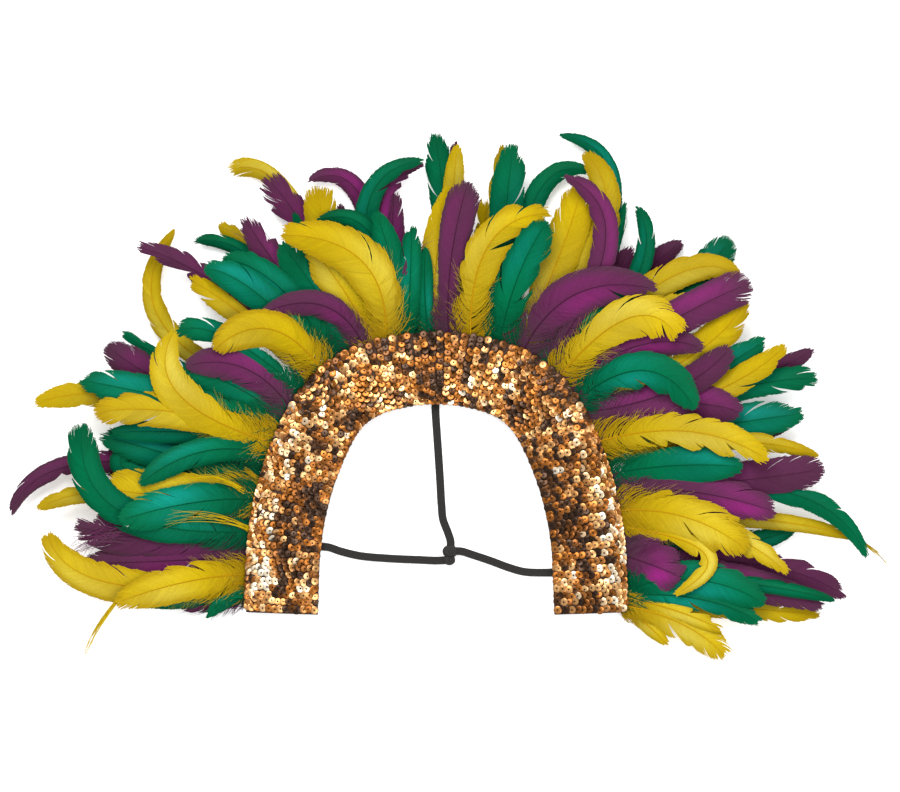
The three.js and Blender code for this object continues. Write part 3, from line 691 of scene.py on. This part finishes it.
class Feather:
    """One feather of the table: where its surface lies, and its own shades."""

    def __init__(self, row, order, rng):
        self.row, self.rng = row, rng
        self.midrib = Midrib(row)
        row_order = int(row["level"]) // LEVELS_PER_ROW
        self.base = row_order * TAPE_PITCH + TAPE_THICKNESS / 2
        self.own_lift = OWN_LIFT * (order % 3 - 1)
        self.roll = rng.uniform(-MOST_ROLL, MOST_ROLL)
        self.curl = rng.uniform(-CURL_DOWN_PER_LEVEL * row["level"], CURL_UP)
        self.shade = rng.uniform(0, 1)
        # One random side of each vane gets more of the painted sheen, painted light on that side
        self.painted_bright_side = rng.choice((-1, 1))
        self.painted_sheen_share = rng.uniform(*PAINTED_SHEEN_PLACES)
        self.dapples = rng.uniform(*DAPPLES)
        self.dapple_phase = rng.uniform(0, 2 * math.pi)
        self.dye = {name: linear(rgb) for name, rgb in DYES_AND_PAINTED_LIGHT[row["dye"]].items()}

    def surface(self, distance, across):
        """Points on the feather's surface, cambered, rolled and curled a little."""
        flat = self.midrib.beside(distance, across)
        share = np.clip(distance / self.midrib.length, 0, 1)
        loose = smoothstep(share / LOOSE_BY)
        relative = across / (self.row["width"] / 2)
        height = self.base + self.row["level"] * fan_rise(flat)
        height = height + loose * (self.own_lift + self.roll * across - CAMBER * relative ** 2)
        height = height + self.curl * share ** 3
        return np.concatenate([flat, np.maximum(height, LEAST_HEIGHT)[..., None]], -1)

    def tint(self, share, relative, side, jitter):
        """The dye by place: deep at the base, darkened toward deep, a painted shade, at the margins and tip,
        with random dapples, and a long sheen, a painted highlight, most on one side.
        """
        full = smoothstep((share - DYE_FROM) / DYE_RUN)[..., None]
        colour = self.dye["deep"] * (1 - full) + self.dye["main"] * full
        # Painted highlight: a pale band of sheen mixed into the tint, stronger on the painted bright side
        painted_gloss = 1 if side == self.painted_bright_side else PAINTED_SHEEN_DULL_SIDE
        painted_gloss = painted_gloss * (PAINTED_SHEEN_LEAST + (1 - PAINTED_SHEEN_LEAST) * self.shade)
        along, aside = (share - self.painted_sheen_share) / PAINTED_SHEEN_RUN, (relative - PAINTED_SHEEN_ACROSS) / PAINTED_SHEEN_SPREAD
        painted_gloss = painted_gloss * np.exp(-along ** 2 - aside ** 2)
        colour = colour + (self.dye["painted_sheen"] - colour) * painted_gloss[..., None]
        # Painted shade: the margins and the tip are darkened toward deep, and random dapples add patches of
        # it
        painted_tip_shade = smoothstep((share - PAINTED_TIP_SHADE_FROM) / (1 - PAINTED_TIP_SHADE_FROM))
        painted_edge_shade = np.maximum(smoothstep((relative - MARGIN_FROM) / MARGIN_RUN), painted_tip_shade)
        dapple = 0.5 + 0.5 * np.sin(self.dapples * share + side * relative + self.dapple_phase)
        painted_shade_and_dapple = np.maximum(painted_edge_shade * (PAINTED_EDGE_SHADE_MOST - PAINTED_EDGE_SHADE_BY_SHADE * self.shade), DAPPLE_STRENGTH * dapple)
        colour = colour + (self.dye["deep"] - colour) * painted_shade_and_dapple[..., None]
        # Painted shade: feathers on lower levels are darkened under the levels over them
        depth = PAINTED_SHADE_AT_BACK + (1 - PAINTED_SHADE_AT_BACK) * self.row["level"] / TOP_LEVEL
        return colour * depth * jitter[..., None]


def clump_barbs(count, ragged, rng):
    """For each barb its place in its clump, from -1 to 1, and the clump's size, pull and slack."""
    place, size, pull, slack = np.zeros((4, count))
    first = 0
    while first < count:
        last = min(first + int(rng.integers(*CLUMP_BARBS)), count)
        parted = rng.uniform() < PARTED_LEAST + PARTED_BY_RAGGED * ragged
        place[first:last] = np.linspace(-1, 1, last - first)
        size[first:last] = last - first
        if parted:
            pull[first:last] = (PULL_LEAST + (1 - PULL_LEAST) * ragged) * rng.uniform(*PULL_PARTED)
        else:
            pull[first:last] = rng.uniform(0, PULL_WHOLE)
        slack[first:last] = rng.normal(0, 1) * (1 if parted else SLACK_WHOLE)
        first = last
    return place, size, pull, slack


def edge_of_vane(row, midrib):
    """Evenly spaced places along a half vane's edge: distance from the root, and reach."""
    distance = np.linspace(0, midrib.length, EDGE_SAMPLES)
    reach = half_width(row, midrib.share_at(distance))
    arc = np.concatenate([[0], np.cumsum(np.hypot(np.diff(distance), np.diff(reach)))])
    count = int(arc[-1] / BARB_PITCH)
    place = (np.arange(count) + 0.5) / count * arc[-1]
    return np.interp(place, arc, distance), np.interp(place, arc, reach)


def add_vane(skin, feather, side):
    """The barbs on one side of a feather, each a narrow ribbon that leans to the tip."""
    row, rng, midrib = feather.row, feather.rng, feather.midrib
    outer, reach = edge_of_vane(row, midrib)
    count = len(outer)
    end = outer / midrib.length
    place, size, pull, slack = clump_barbs(count, row["ragged"], rng)
    down = 1 - smoothstep((end - DOWN_SHARE * 0.5) / DOWN_SHARE)
    fluffed = row["width"] * rng.uniform(*FLUFF_ACROSS, count)
    reach = reach + down * np.maximum(fluffed - reach, 0)
    lean = LEAN_AT_BASE + (LEAN_AT_TIP - LEAN_AT_BASE) * end + down * rng.normal(0, FLUFF_LEAN, count)
    tip_run = TIP_RUN * midrib.length * smoothstep((end - TIP_RUN_FROM) / (1 - TIP_RUN_FROM))
    run = np.maximum(reach * lean, tip_run)
    start = np.maximum(outer - run, -QUILL_DEPTH / 2)
    fray = 1 + (FRAY_LEAST + FRAY_BY_RAGGED * row["ragged"]) * slack + FRAY_SCATTER * rng.normal(size=count)
    fray = fray - LOCK_POINT * pull * place ** 2
    near_tip = smoothstep((end - TIP_LOOSE_FROM) / (1 - TIP_LOOSE_FROM))

    q = np.linspace(0, 1, BARB_POINTS)
    tip_scatter = near_tip * rng.normal(0, TIP_SCATTER + row["ragged"], count)
    shift = -0.5 * pull * place * size * BARB_PITCH + SLACK_SHIFT * slack + tip_scatter
    distance = start[:, None] + (outer - start)[:, None] * q ** BARB_RUN_POWER + shift[:, None] * q ** 2
    distance = np.minimum(distance, midrib.length)
    across = (reach * fray)[:, None] * (1 - (1 - q) ** BARB_REACH_POWER)
    wave = np.sin(q * rng.uniform(*FLUFF_WAVES, count)[:, None] + rng.uniform(*FLUFF_PHASES, count)[:, None])
    distance = distance + down[:, None] * FLUFF_WAVE * wave * q

    step_d, step_a = np.gradient(distance, axis=1), np.gradient(across, axis=1)
    length = np.hypot(step_d, step_a) + 1e-9
    half = BARB_PITCH * (1 - FLUFF_THINNING * down[:, None]) * (1 - BARB_THINNING * q ** 2)
    edges_d = np.stack([distance + half * step_a / length, distance - half * step_a / length], -1)
    edges_a = np.stack([across - half * step_d / length, across + half * step_d / length], -1)
    points = feather.surface(edges_d, side * edges_a)
    tilt = half * (BARB_TILT + TILT_SCATTER * rng.normal(size=count)[:, None])
    lift = SLACK_LIFT * slack[:, None] * q + down[:, None] * rng.normal(0, FLUFF_LIFT, count)[:, None] * q
    points[..., 2] += np.stack([tilt, -tilt], -1) + lift[..., None]
    lowest = rng.uniform(FLOOR_GAP, FLOOR_GAP_MOST, count)
    points[..., 2] = np.maximum(points[..., 2], lowest[:, None, None])

    share = np.clip(edges_d / midrib.length, 0, 1)
    relative = np.broadcast_to(q[:, None], share.shape)
    jitter = 1 + SHADE_SCATTER * rng.normal(size=count) + SLACK_SHADE * slack
    tints = feather.tint(share, relative, side, np.broadcast_to(jitter[:, None, None], share.shape))
    skin.add_grid(points, np.clip(tints, 0, 1))


def add_down(skin, feather):
    """Loose fine barbs that stand out from the base of a feather."""
    row, rng, midrib = feather.row, feather.rng, feather.midrib
    start = DOWN_REACH * midrib.length * rng.uniform(*DOWN_STARTS, DOWN_BARBS)
    side = rng.choice((-1, 1), DOWN_BARBS)
    reach = row["width"] * rng.uniform(*DOWN_ACROSS, DOWN_BARBS)
    reach = reach * (BACK_DOWN if row["level"] < LEVELS_PER_ROW else 1)
    lean = rng.uniform(*DOWN_LEAN, DOWN_BARBS)
    q = np.linspace(0, 1, BARB_POINTS)
    phase = rng.uniform(0, 2 * math.pi, DOWN_BARBS)[:, None]
    wave = np.sin(q * rng.uniform(*DOWN_WAVES, DOWN_BARBS)[:, None] + phase) * q
    across = reach[:, None] * q
    distance = start[:, None] + (reach * lean)[:, None] * q ** DOWN_BEND + DOWN_WAVE * wave
    half = DOWN_WIDTH * (DOWN_TAPER - q)
    edges_d = np.stack([distance + half, distance - half], -1)
    edges_a = np.stack([across, across], -1) * side[:, None, None]
    points = feather.surface(edges_d, edges_a)
    points[..., 2] += (rng.normal(DOWN_RISE, RISE_SCATTER, DOWN_BARBS)[:, None] * q)[..., None]
    points[..., 2] = np.maximum(points[..., 2], FLOOR_GAP)
    share = np.clip(edges_d / midrib.length, 0, 1)
    jitter = rng.uniform(*DOWN_SHADES, DOWN_BARBS)[:, None, None]
    jitter = np.broadcast_to(jitter, share.shape)
    tints = feather.tint(share + DOWN_DYE_SHIFT, np.zeros_like(share), 0, jitter)
    skin.add_grid(points, np.clip(tints, 0, 1))


def add_rib(skin, feather):
    """The midrib: a tapered tube from inside the tape to near the tip."""
    midrib = feather.midrib
    distance = np.linspace(-QUILL_DEPTH, RIB_END * midrib.length, RIB_RINGS)
    share = np.clip(distance / midrib.length, 0, 1)
    radius = RIB_RADIUS * (1 - share) ** RIB_TAPER + RIB_LEAST
    turn = np.linspace(0, 2 * math.pi, RIB_SIDES, endpoint=False)
    across = radius[:, None] * np.cos(turn)
    points = feather.surface(np.broadcast_to(distance[:, None], across.shape), across)
    points[..., 2] += RIB_RAISE + RIB_FLATNESS * radius[:, None] * np.sin(turn)
    tints = feather.dye["rib"] * feather.rng.uniform(*RIB_SHADES)
    skin.add_grid(points[None], tints, wrap=True)


def add_wisp(skin, wisp, rng):
    """Loose barbs, each a fine ribbon that bends to an end of its own."""
    count, level = int(wisp["barbs"]), wisp["level"]
    start, bend, end = (np.array([wisp[f"{part}_x"], wisp[f"{part}_y"]]) for part in ("start", "bend", "end"))
    drift = wisp["spread"] * rng.normal(size=(3, count, 1, 2))
    t = np.linspace(0, 1, WISP_POINTS)[:, None]
    flat = (1 - t) ** 2 * (start + WISP_START_DRIFT * drift[0]) + 2 * t * (1 - t) * (bend + drift[1])
    flat = flat + t * t * (end + drift[2])
    along = np.gradient(flat, axis=1)
    along /= np.linalg.norm(along, axis=2, keepdims=True)
    side = WISP_HALF * (WISP_TAPER - t) * np.stack([-along[..., 1], along[..., 0]], -1)
    edges = np.stack([flat + side, flat - side], 2)
    base = int(level) // LEVELS_PER_ROW * TAPE_PITCH + TAPE_THICKNESS / 2 + WISP_LIFT
    height = base + level * fan_rise(edges)
    dye = DYES_AND_PAINTED_LIGHT[wisp["dye"]]
    mix = rng.uniform(0, 1, count)[:, None, None, None]
    tints = mix * linear(dye["main"]) + (1 - mix) * linear(dye["deep"])
    skin.add_grid(np.concatenate([edges, height[..., None]], -1), tints)


def build_feathers():
    rng = np.random.default_rng(SEED)
    skins = {}
    for order, row in enumerate(read_table(FEATHERS)):
        feather = Feather(row, order, rng)
        key = (int(row["level"]) // LEVELS_PER_ROW, row["dye"])
        skin = skins.setdefault(key, Skin())
        add_vane(skin, feather, 1)
        add_vane(skin, feather, -1)
        add_down(skin, feather)
        add_rib(skin, feather)
    for wisp in read_table(WISPS):
        add_wisp(skins[int(wisp["level"]) // LEVELS_PER_ROW, wisp["dye"]], wisp, rng)
    materials = {dye: feather_material(dye) for dye in DYES_AND_PAINTED_LIGHT}
    for (row_order, dye), skin in sorted(skins.items()):
        piece = skin.build(f"feathers_{ROW_NAMES[row_order]}_{dye}", materials[dye])
        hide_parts(f"feather_row_{ROW_NAMES[row_order]}")


def build_tapes():
    """The sewing tapes that hold each row's quills."""
    material = cloth_material("tape_cloth", dark=(40, 34, 30), light=(66, 56, 50), threads=900)
    end = SPINE_END - TAPE_END_MARGIN
    stations = np.linspace(-end, end, TAPE_STATIONS)
    place, outward = spine(stations)
    for row_order, name in enumerate(ROW_NAMES):
        bottom = row_order * TAPE_PITCH + TAPE_INSET
        top = bottom + TAPE_THICKNESS - 2 * TAPE_INSET
        corners = ((TAPE_INNER, bottom), (TAPE_OUTER, bottom), (TAPE_OUTER, top), (TAPE_INNER, top))
        rings = [np.concatenate([place + a * outward, np.full((len(stations), 1), z)], 1) for a, z in corners]
        skin = Skin()
        skin.add_grid(np.stack(rings, 1)[None], linear(TAPE_COLOUR), wrap=True)
        piece = skin.build(f"feather_tape_{name}", material, smooth=False)
        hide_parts(f"feather_row_{name}")


# Sequins

def turned(points, axis, angle):
    """Points turned about an axis through the origin, each item by its own angle."""
    axis = axis / np.linalg.norm(axis, axis=-1, keepdims=True)
    c, s = np.cos(angle)[:, None, None, None], np.sin(angle)[:, None, None, None]
    k = axis[:, None, None, :]
    dot = (points * k).sum(-1, keepdims=True)
    return points * c + np.cross(np.broadcast_to(k, points.shape), points) * s + k * dot * (1 - c)


def patches(x, y, rng, size):
    """A smooth random value at each place, with patches of about the given size."""
    total = np.zeros_like(x)
    for _ in range(PATCH_WAVES):
        angle, phase = rng.uniform(0, 2 * math.pi, 2)
        wave = 2 * math.pi / (size * rng.uniform(*PATCH_SPREAD))
        total += np.sin(wave * (x * math.cos(angle) + y * math.sin(angle)) + phase)
    return total / PATCH_WAVES ** 0.5


def sequin_places(rng):
    """Station and place across the band of every sequin, string by string."""
    hem_top = SPINE_END - HEM_LENGTH
    inner, outer = SEQUIN_INSET_INNER - BAND_HALF, BAND_HALF - SEQUIN_INSET_OUTER
    stations, across = [], []
    strings = np.linspace(-hem_top, hem_top, round(2 * hem_top / STRING_PITCH) + 1)
    for order, station in enumerate(strings):
        step = np.arange(inner, outer + STRING_STEP, STRING_STEP) - STRING_STEP / 2 * (order % 2)
        step = step + rng.normal(0, STEP_SCATTER, len(step))
        sway = rng.normal(0, STRING_SWAY) + rng.normal(0, STRING_LEAN) * step / outer
        stations.append(station + sway + rng.normal(0, SEQUIN_SCATTER, len(step)))
        across.append(step)
    shoulder, leg = np.cumsum([math.radians(degrees) * radius for radius, degrees in SPINE_ARCS[:2]])
    for side in (-1, 1):
        for station in np.arange(shoulder, leg, STRING_PITCH) + STRING_PITCH / 2:
            step = np.arange(FILL_FROM, outer + 0.1, STRING_STEP)
            stations.append(side * station + rng.normal(0, FILL_SCATTER, len(step)))
            across.append(step + rng.normal(0, SEQUIN_SCATTER, len(step)))
        for inset in CHAIN_INSETS:
            chain = np.arange(leg + inset, hem_top - CHAIN_STOP, STRING_STEP)
            stations.append(side * chain)
            across.append(outer - inset + rng.normal(0, CHAIN_SCATTER, len(chain)))
    return np.concatenate(stations), np.clip(np.concatenate(across), inner, outer)


def sequin_tints_with_painted_light(stations, across, noise):
    """Each sequin's colour, from painted shade through its own orange to painted reflection, by the table of
    painted shine and shade.
    """
    painted_glow = noise.copy()
    for spot in read_table(SEQUIN_PAINTED_SHINE_AND_SHADE):
        along = (np.abs(stations) - spot["station"]) / spot["along_reach"]
        aside = (across - spot["across"]) / spot["across_reach"]
        painted_glow += spot["gain"] * np.exp(-along ** 2 - aside ** 2)
    colours = np.array([linear(rgb) for rgb in SEQUIN_COLOURS_AND_PAINTED_LIGHT])
    return np.stack([np.interp(painted_glow, SEQUIN_PAINTED_GLOWS, colours[:, i]) for i in range(3)], -1)


def build_sequins():
    rng = np.random.default_rng(SEED + 1)
    stations, across = sequin_places(rng)
    place, outward = spine(stations)
    centre = place + across[:, None] * outward
    count = len(stations)
    turn = np.linspace(0, 2 * math.pi, SEQUIN_SIDES, endpoint=False)
    radius, drop, shade = (np.array([ring[name] for ring in read_table(SEQUIN_RINGS)])[:, None]
                           for name in ("radius", "height", "shade"))
    dome = np.stack([radius * np.cos(turn), radius * np.sin(turn), drop + 0 * turn], -1)
    domes = np.broadcast_to(dome, (count, *dome.shape)).copy()
    on_legs = smoothstep((np.abs(stations) - SHINGLE_TURNS_AT) / SHINGLE_TURN_RUN)
    shingle = math.radians(SEQUIN_TILT) * (1 - 2 * on_legs)
    patch = patches(centre[:, 0], centre[:, 1], rng, ROCK_PATCH)
    outward_3d = np.concatenate([outward, np.zeros((count, 1))], 1)
    along_3d = np.stack([-outward[:, 1], outward[:, 0], np.zeros(count)], 1)
    rock = math.radians(SEQUIN_ROCK) * (patch + rng.normal(size=count))
    domes = turned(domes, along_3d, shingle + rock)
    sway = patches(centre[:, 1], centre[:, 0], rng, SWAY_PATCH)
    domes = turned(domes, outward_3d, math.radians(SEQUIN_SWAY) * (sway + rng.normal(size=count)))
    top = np.interp(across, BAND_TOP_ACROSS, BAND_TOP_HEIGHT)
    height = top + SEQUIN_STAND + rng.uniform(0, STAND_SCATTER, count)
    domes = domes + np.concatenate([centre, height[:, None]], 1)[:, None, None, :]
    # Painted reflection and painted shade that change in patches and from sequin to sequin
    noise = PAINTED_GLOW_BY_PATCH * patches(centre[:, 0], centre[:, 1], rng, PAINTED_GLOW_PATCH)
    noise = noise + PAINTED_GLOW_SCATTER * rng.normal(size=count)
    tints = sequin_tints_with_painted_light(stations, across, noise)
    skin = Skin()
    # Each ring's shade scales the tint: painted shade at the hole and the rim
    skin.add_grid(domes, tints[:, None, None, :] * shade[None, :, :, None], wrap=True)
    piece = skin.build("sequins", sequin_material())
    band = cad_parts["sequin_band"]
    band.data.materials.clear()
    cloth = cloth_material("band_cloth", dark=(66, 40, 28), light=(108, 68, 46), threads=700)
    band.data.materials.append(cloth)


# Straps and knot

def smooth_route(points):
    """A centripetal curve through the points, in steps of about STRAP_STEP."""
    points = np.asarray(points, float)
    ends = [2 * points[0] - points[1], *points, 2 * points[-1] - points[-2]]
    route = []
    for p0, p1, p2, p3 in zip(ends, ends[1:], ends[2:], ends[3:]):
        k0, k1, k2 = (math.sqrt(np.linalg.norm(b - a)) for a, b in ((p0, p1), (p1, p2), (p2, p3)))
        m1 = (p1 - p0) / k0 - (p2 - p0) / (k0 + k1) + (p2 - p1) / k1
        m2 = (p2 - p1) / k1 - (p3 - p1) / (k1 + k2) + (p3 - p2) / k2
        m1, m2 = m1 * k1, m2 * k1
        count = max(2, round(np.linalg.norm(p2 - p1) / STRAP_STEP))
        t = np.linspace(0, 1, count, endpoint=False)[:, None]
        route.append((2 * t ** 3 - 3 * t ** 2 + 1) * p1 + (t ** 3 - 2 * t ** 2 + t) * m1
                     + (-2 * t ** 3 + 3 * t ** 2) * p2 + (t ** 3 - t ** 2) * m2)
    return np.concatenate([*route, [points[-1]]])


def strap_section():
    """The outline of the flat elastic: ribbed above and below, round at its edges."""
    half, thick = STRAP_WIDTH / 2, STRAP_THICKNESS / 2
    flat = half - STRAP_ROUND
    across = np.linspace(-flat, flat, STRAP_RIBS * STRAP_RIB_POINTS + 1)
    height = thick - STRAP_RIB_DEPTH + STRAP_RIB_DEPTH * np.cos(across / flat * math.pi * STRAP_RIBS)
    top = np.stack([across, height], 1)
    under = np.stack([across[::-1], -height[::-1]], 1)
    return np.concatenate([top, [[half, 0]], under, [[-half, 0]]])


def build_strap(name, station, table, material):
    place, outward = spine([station])
    sewn = [np.array([*(place[0] + (depth - BAND_HALF) * outward[0]), STRAP_MIDDLE])
            for depth in (SEWN_DEPTH, 0, -STRAP_WIDTH)]
    free = [np.array([row["x"], row["y"], row["z"]]) for row in read_table(table)]
    route = smooth_route([*sewn, *free])
    along = np.gradient(route, axis=0)
    along /= np.linalg.norm(along, axis=1)[:, None]
    side = np.cross([0, 0, 1], along)
    side /= np.linalg.norm(side, axis=1)[:, None]
    up = np.cross(along, side)
    section = strap_section()
    rings = route[:, None] + section[None, :, :1] * side[:, None] + section[None, :, 1:] * up[:, None]
    skin = Skin()
    skin.add_grid(rings[None], linear(ELASTIC_COLOUR), wrap=True)
    piece = skin.build(f"{name}_elastic", material)
    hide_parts(name)


def build_knot(material):
    """The tied knot: two lumps of elastic wound round and round."""
    skin = Skin()
    for centre, radii in KNOT_LUMPS:
        lat = np.linspace(-math.pi / 2 + KNOT_POLE, math.pi / 2 - KNOT_POLE, KNOT_RINGS)
        lon = np.linspace(0, 2 * math.pi, KNOT_SIDES, endpoint=False)
        skew = WINDING_SKEW * np.sin(lon + WINDING_PHASE)
        wound = 1 + WINDING_DEPTH * np.cos(WINDINGS * lat[:, None] + skew)
        ball = np.stack([np.cos(lat)[:, None] * np.cos(lon), np.cos(lat)[:, None] * np.sin(lon),
                         np.sin(lat)[:, None] * np.ones_like(lon)], -1) * wound[..., None]
        points = np.array(centre) + ball * np.array(radii) * KNOT_SHARE
        points[..., 2] = np.maximum(points[..., 2], FLOOR_GAP)
        skin.add_grid(points[None], linear(ELASTIC_COLOUR), wrap=True)
    piece = skin.build("strap_knot_wound", material)
    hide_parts("strap_knot")
    return piece


def elastic_material():
    material, nodes, links, shader = new_material("elastic_black", roughness=0.7, specular_ior_level=0.2)
    noise = add_noise(nodes, links, scale=1800, detail=3)
    tinted(nodes, links, shader, noise, low=0.7, high=1.35)
    add_bump(nodes, links, shader, noise.outputs["Fac"], distance=0.0003, strength=0.5)
    return material


def build_straps():
    material = elastic_material()
    knot = build_knot(material)
    for name, (station, table) in STRAPS.items():
        build_strap(name, station, table, material)


# Stage, light and camera

def build_floor():
    bpy.ops.mesh.primitive_plane_add(size=FLOOR_SIZE, location=(0, 0, -FLOOR_DROP))
    floor = bpy.context.object
    floor.name = "floor"
    material, _, _, shader = new_material(
        "floor_white", roughness=0.9, specular_ior_level=0.1,
        emission_color=(1, 1, 1, 1), emission_strength=FLOOR_GLOW)
    shader.inputs["Base Color"].default_value = FLOOR_WHITE
    floor.data.materials.append(material)


def add_softbox(name, place, size, power):
    lamp = bpy.data.lights.new(name, "AREA")
    lamp.shape = "SQUARE"
    lamp.size = size
    lamp.energy = power
    softbox = bpy.data.objects.new(name, lamp)
    softbox.location = place
    aim = -softbox.location
    softbox.rotation_euler = aim.to_track_quat("-Z", "Y").to_euler()
    bpy.context.scene.collection.objects.link(softbox)


def build_light():
    world = bpy.data.worlds.new("studio")
    world.use_nodes = True
    world.node_tree.nodes["Background"].inputs["Color"].default_value = (1, 1, 1, 1)
    world.node_tree.nodes["Background"].inputs["Strength"].default_value = SKY_STRENGTH
    bpy.context.scene.world = world
    for name, box in SOFTBOXES.items():
        add_softbox(name, box["place"], box["size"], box["power"])
    bpy.context.scene.view_settings.view_transform = "Standard"


def build_camera():
    camera = bpy.data.cameras.new("camera")
    camera.sensor_width = SENSOR_WIDTH
    camera.lens = SENSOR_WIDTH * (CAMERA_HEIGHT - SUBJECT_HEIGHT) / (PHOTO_WIDTH * PIXEL_MM)
    camera.clip_end = CAMERA_FAR
    holder = bpy.data.objects.new("camera", camera)
    x = (PHOTO_WIDTH / 2 - ORIGIN_PIXEL[0]) * PIXEL_MM
    y = (ORIGIN_PIXEL[1] - PHOTO_HEIGHT / 2) * PIXEL_MM
    holder.location = (x * MM, y * MM, CAMERA_HEIGHT * MM)
    bpy.context.scene.collection.objects.link(holder)
    bpy.context.scene.camera = holder


build_camera()
build_straps()
build_feathers()
build_tapes()
build_sequins()
build_floor()
build_light()
